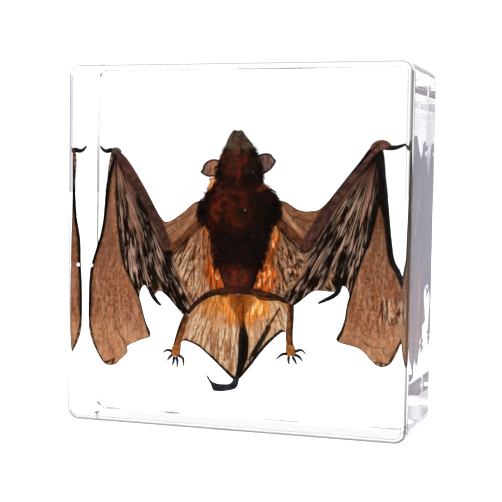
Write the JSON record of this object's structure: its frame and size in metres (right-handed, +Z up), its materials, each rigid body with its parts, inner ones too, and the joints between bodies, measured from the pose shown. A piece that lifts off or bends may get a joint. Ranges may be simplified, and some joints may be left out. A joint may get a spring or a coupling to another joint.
{
  "type": "bat in resin block",
  "caption": "Small dried bat with spread wings, sealed in a clear rectangular resin block that stands on its narrow bottom face.",
  "frame": {"origin": "middle of the block's bottom face, on the surface that it stands on", "axes": "+Z up, towards the bat's head; -Y out of the front face, which the bat's belly looks out of; +X to the viewer's right across the wings"},
  "size_m": [0.114, 0.04, 0.117],
  "materials": {
    "bat_hide": "dried skin, fur and bone, satin",
    "clear_resin": "clear cast resin, polished"
  },
  "bodies": {
    "root": {"bat": "bat_hide", "resin_block_front": "clear_resin", "resin_block_back": "clear_resin"}
  },
  "joints": []
}
